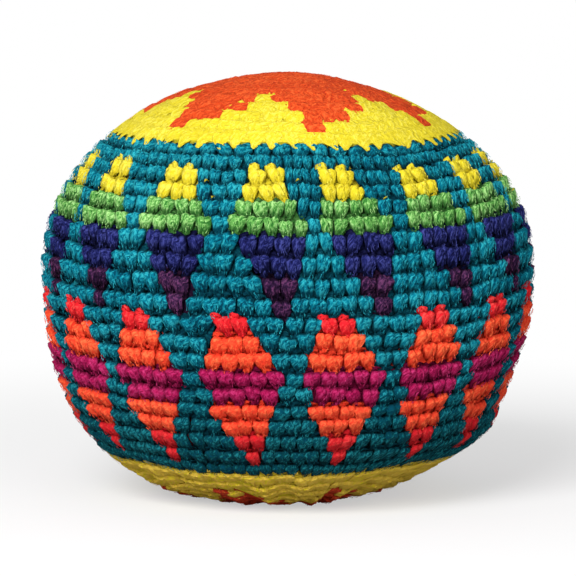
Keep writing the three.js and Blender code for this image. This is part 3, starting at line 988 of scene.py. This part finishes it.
# %% Make the fourteen pieces of the cover
COVER = {
    "base_star": "yarn_flame",
    "base_field": "yarn_yellow",
    "teal_ground": "yarn_teal",
    "lower_red_tips": "yarn_red",
    "lower_orange_diamonds": "yarn_orange",
    "magenta_diamonds": "yarn_magenta",
    "upper_orange_diamonds": "yarn_orange",
    "upper_red_tips": "yarn_red",
    "purple_tips": "yarn_purple",
    "navy_triangles": "yarn_navy",
    "green_triangles": "yarn_green",
    "yellow_triangles": "yarn_yellow",
    "crown_field": "yarn_yellow",
    "crown_star": "yarn_flame",
}
for node, lot in COVER.items():
    piece = yarn_piece(node)
    piece.data.materials.append(yarn_materials[lot])
    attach(piece, "root")
    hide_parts(node)
    print(piece.name, len(piece.data.polygons), "faces")

# %% [markdown]
# ## The two yarn ends
#
# The base starts with a small loop of yarn, and the crown is drawn shut with a knot, whose tail is left
# inside. Each is one strand, wound twice round and then led down the middle. The same ring-by-ring
# extrusion makes it, so that the yarn's UV map and material fit it as they fit a stitch.

# %% Wind a yarn end and put it in its place
END_STRAND = 0.5  # mm, its radius
END_SIDES = 8
END_COIL = 0.74  # mm, the coil's radius
COIL_TURNS = 2
COIL_STEPS = 20
COIL_SINK = 1.05  # mm that its last turn lies deeper
SINK_LATE = 1.5  # the higher, the more of that comes at its end
TAIL_STEPS = (0.35, 0.7, 1.0)
TAIL_PULL = 1.4  # how quickly the tail comes to the middle
KNOT_TAIL = 1.6  # mm
LOOP_TAIL = 0.35


def yarn_end(node, tail, flip):
    """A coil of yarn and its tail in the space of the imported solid. Flipped, the coil looks down."""
    low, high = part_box(node)
    angles = np.linspace(0, 2 * math.pi * COIL_TURNS, COIL_STEPS)
    sinks = END_STRAND + COIL_SINK * np.linspace(0, 1, COIL_STEPS) ** SINK_LATE
    path = [
        (END_COIL * math.cos(a), END_COIL * math.sin(a), -sink) for a, sink in zip(angles, sinks)
    ]
    for share in TAIL_STEPS:
        out = END_COIL * max(1 - TAIL_PULL * share, 0)
        path.append((out, 0, -sinks[-1] - tail * share))
    steps = [(x, y, z, END_STRAND) for x, y, z in path]
    points, faces, corners = strand_mesh(node + "_strand", steps, END_SIDES)
    if flip:
        points = points * [1, 1, -1]
        ends = np.cumsum([len(face) for face in faces])
        corners = np.concatenate([part[::-1] for part in np.split(corners, ends[:-1])])
        faces = [face[::-1] for face in faces]
    points = points * MM + [0, 0, low[2] if flip else high[2]]
    flat = np.zeros(len(points))
    looks = {"shade": flat, "tuck_shade": flat, "stray_glint": flat}
    return mesh_of(node + "_yarn", points, faces, corners, looks)


for node, tail, flip in (
    ("crown_closing_knot", KNOT_TAIL, False),
    ("base_starting_loop", LOOP_TAIL, True),
):
    piece = yarn_end(node, tail, flip)
    piece.data.materials.append(yarn_materials["yarn_flame"])
    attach(piece, "root")
    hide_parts(node)
    print(piece.name, len(piece.data.polygons), "faces")

# %% [markdown]
# ## The pellets
#
# The bag is filled with small round plastic pellets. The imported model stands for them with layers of
# large six-sided ones, so that it stays light. Here thirteen small pellets take the place of each large
# one: one in the middle, six round it, three above and three below, packed as oranges are stacked.
# One pellet is modelled, as a ball pressed a little flat, and numpy lays its copies out.

# %% One pellet, and the thirteen places in a cluster
PELLET_SIDES = 7
PELLET_RINGS = 5
PELLET_FLATNESS = 0.86
deselect_all()
bpy.ops.mesh.primitive_uv_sphere_add(segments=PELLET_SIDES, ring_count=PELLET_RINGS, radius=0.5)
bpy.ops.transform.resize(value=(1, 1, PELLET_FLATNESS))
bpy.ops.object.transform_apply(location=True, rotation=True, scale=True)
pellet = bpy.context.object
pellet_points = np.array([vertex.co for vertex in pellet.data.vertices])
pellet_faces = [list(polygon.vertices) for polygon in pellet.data.polygons]
bpy.data.objects.remove(pellet)

cluster = [(0.0, 0.0, 0.0)]
cluster += [(math.cos(k * math.pi / 3), math.sin(k * math.pi / 3), 0.0) for k in range(6)]
for level in (1, -1):
    for k in range(3):
        angle = math.pi / 6 + k * 2 * math.pi / 3 + (level < 0) * math.pi / 3
        cluster.append(
            (math.cos(angle) / 3**0.5, math.sin(angle) / 3**0.5, level * (2 / 3) ** 0.5)
        )
cluster = np.array(cluster)
print(len(cluster), "places in a cluster")

# %% Where the large pellets are, and their satin plastic
PACKED_WIDTH = 7.06  # mm
PACKED_HEIGHT = 6.65
DULL_PLASTIC = (214, 208, 190)
CLEAN_PLASTIC = (240, 237, 226)


def pellet_places(node):
    """The middles of the large pellets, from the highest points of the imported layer, and their width."""
    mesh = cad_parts[node].data
    points = np.array([vertex.co for vertex in mesh.vertices])
    top, bottom = points[:, 2].max(), points[:, 2].min()
    peaks = np.unique(np.round(points[points[:, 2] > top - DOUBLE] / MM, 2), axis=0) * MM
    peaks[:, 2] = (top + bottom) / 2
    width = (top - bottom) * (PACKED_WIDTH / PACKED_HEIGHT)
    return peaks, width


def plastic():
    shader = Shader(bpy.data.materials.new("pellet_plastic"))
    shade = shader.node("ShaderNodeAttribute", {"attribute_name": "shade"})[2]
    place = shader.node("ShaderNodeTexCoord")[3]
    cloud = shader.node("ShaderNodeTexNoise", None, {"Vector": place, "Scale": 420, "Detail": 2})[0]
    pits = shader.node("ShaderNodeTexNoise", None, {"Vector": place, "Scale": 3200, "Detail": 1})[0]
    tone = (shade * 0.25 + cloud).between(0.2, 0.9)
    colour = shader.mix(tone, srgb(*DULL_PLASTIC), srgb(*CLEAN_PLASTIC))
    bump = shader.node(
        "ShaderNodeBump", None, {"Strength": 0.4, "Distance": 0.03 * MM, "Height": pits}
    )[0]
    settings = {"Base Color": colour, "Roughness": cloud * 0.2 + 0.32, "IOR": 1.49, "Normal": bump}
    return shader.finish(shader.node("ShaderNodeBsdfPrincipled", None, settings)[0])


# %% Fill each layer with small pellets, each turned its own way
PELLETS_ACROSS = 3  # in place of a large one
PELLET_FIT = (0.9, 0.99)  # its width, as a share of the room that it has
pellet_plastic = plastic()
for node in sorted(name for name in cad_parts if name.startswith("pellet_layer")):
    middles, width = pellet_places(node)
    spots = (middles[:, None] + cluster[None] * width / PELLETS_ACROSS).reshape(-1, 3)
    count = len(spots)
    sizes = width / PELLETS_ACROSS * rng.uniform(*PELLET_FIT, (count, 1, 1))
    spins, _ = np.linalg.qr(rng.normal(size=(count, 3, 3)))
    spins *= np.sign(np.linalg.det(spins))[:, None, None]
    points = pellet_points[None] @ spins * sizes + spots[:, None]
    size = len(pellet_points)
    faces = [[v + n * size for v in face] for n in range(count) for face in pellet_faces]
    corners = np.zeros((sum(len(face) for face in faces), 2))
    looks = {"shade": np.repeat(rng.uniform(-1, 1, count), size)}
    piece = mesh_of(node + "_pellets", points.reshape(-1, 3), faces, corners, looks)
    piece.data.materials.append(pellet_plastic)
    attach(piece, "root")
    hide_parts(node)
    print(piece.name, count, "pellets")

# %% [markdown]
# ## The stage
#
# The photograph was taken in soft studio light on white, with a light from above and to the left. The
# floor looks white to the camera but keeps the bag's shadow, and it reflects less than white paper
# would, so that the bag's underside stays dark. The camera stands at the photograph's angle.

# %% The floor
FLOOR_SIZE = 8
PAPER = (0.9, 0.9, 0.9, 1)
REFLECTED = (0.35, 0.35, 0.35, 1)
SHADOW_REACH = (0.16, 0.045)  # m from the middle: where the shadow starts to show, and fully shows
SHADOW_STRENGTH = 0.5
bpy.ops.mesh.primitive_plane_add(size=FLOOR_SIZE, location=(0, 0, 0))
floor = bpy.context.object
floor.name = "floor"
shader = Shader(bpy.data.materials.new("studio_floor"))
is_camera = shader.node("ShaderNodeLightPath")[0]
white = shader.node("ShaderNodeEmission", None, {"Color": (1, 1, 1, 1), "Strength": 1.0})[0]
paper = shader.node("ShaderNodeBsdfDiffuse", None, {"Color": PAPER})[0]
grey = shader.node("ShaderNodeBsdfDiffuse", None, {"Color": REFLECTED})[0]
place = shader.node("ShaderNodeTexCoord")[3]
away = shader.node("ShaderNodeVectorMath", {"operation": "LENGTH"}, [place])[1]
near = away.between(*SHADOW_REACH) * SHADOW_STRENGTH
lit = shader.node("ShaderNodeMixShader", None, [near, white, paper])[0]
floor.data.materials.append(
    shader.finish(shader.node("ShaderNodeMixShader", None, [is_camera, grey, lit])[0])
)
print("floor", FLOOR_SIZE, "m wide")

# %% The air: white to the camera, dimmer as a light
AIR_LIGHT = 0.38
world = bpy.data.worlds.new("studio")
bpy.context.scene.world = world
shader = Shader(world)
is_camera = shader.node("ShaderNodeLightPath")[0]
levels = {"Value": is_camera, "To Min": AIR_LIGHT, "To Max": 1.0}
strength = shader.node("ShaderNodeMapRange", None, levels)[0]
air = shader.node("ShaderNodeBackground", None, {"Color": (1, 1, 1, 1), "Strength": strength})[0]
shader.node("ShaderNodeOutputWorld", None, {"Surface": air})
print("the air lights with", AIR_LIGHT, "of the white that it shows")


# %% A key light and a fill light
def area_light(name, azimuth, elevation, distance, size, power):
    a, e = math.radians(azimuth), math.radians(elevation)
    towards = np.array([math.sin(a) * math.cos(e), -math.cos(a) * math.cos(e), math.sin(e)])
    lamp = bpy.data.lights.new(name, "AREA")
    lamp.energy, lamp.size = power, size
    lamp_object = bpy.data.objects.new(name, lamp)
    bpy.context.scene.collection.objects.link(lamp_object)
    lamp_object.location = towards * distance
    turn = lamp_object.location.to_track_quat("Z", "Y")
    lamp_object.rotation_euler = turn.to_euler()
    print(name, "light,", power, "W")


area_light("key", azimuth=-22, elevation=32, distance=0.6, size=0.30, power=4.2)
area_light("fill", azimuth=25, elevation=15, distance=0.7, size=0.40, power=1.8)

# %% The camera
CAMERA_DISTANCE = 0.423
CAMERA_ELEVATION = 5.3  # degrees
CAMERA_LENS = 215.6  # mm, before a sensor as wide as a film frame
SENSOR_WIDTH = 36
NEAREST_SEEN = 0.01
AIM_HEIGHT = 25.2 * MM
camera_data = bpy.data.cameras.new("camera")
camera_data.lens = CAMERA_LENS
camera_data.sensor_width = SENSOR_WIDTH
camera_data.clip_start = NEAREST_SEEN
camera = bpy.data.objects.new("camera", camera_data)
bpy.context.scene.collection.objects.link(camera)
rise = math.radians(CAMERA_ELEVATION)
camera.location = (
    0,
    -CAMERA_DISTANCE * math.cos(rise),
    AIM_HEIGHT + CAMERA_DISTANCE * math.sin(rise),
)
camera.rotation_euler = (math.pi / 2 - rise, 0, 0)
bpy.context.scene.camera = camera
bpy.context.scene.view_settings.view_transform = "Standard"
print("camera", CAMERA_DISTANCE, "m from the bag")

# %% Bring the scene up to date
bpy.context.view_layer.update()
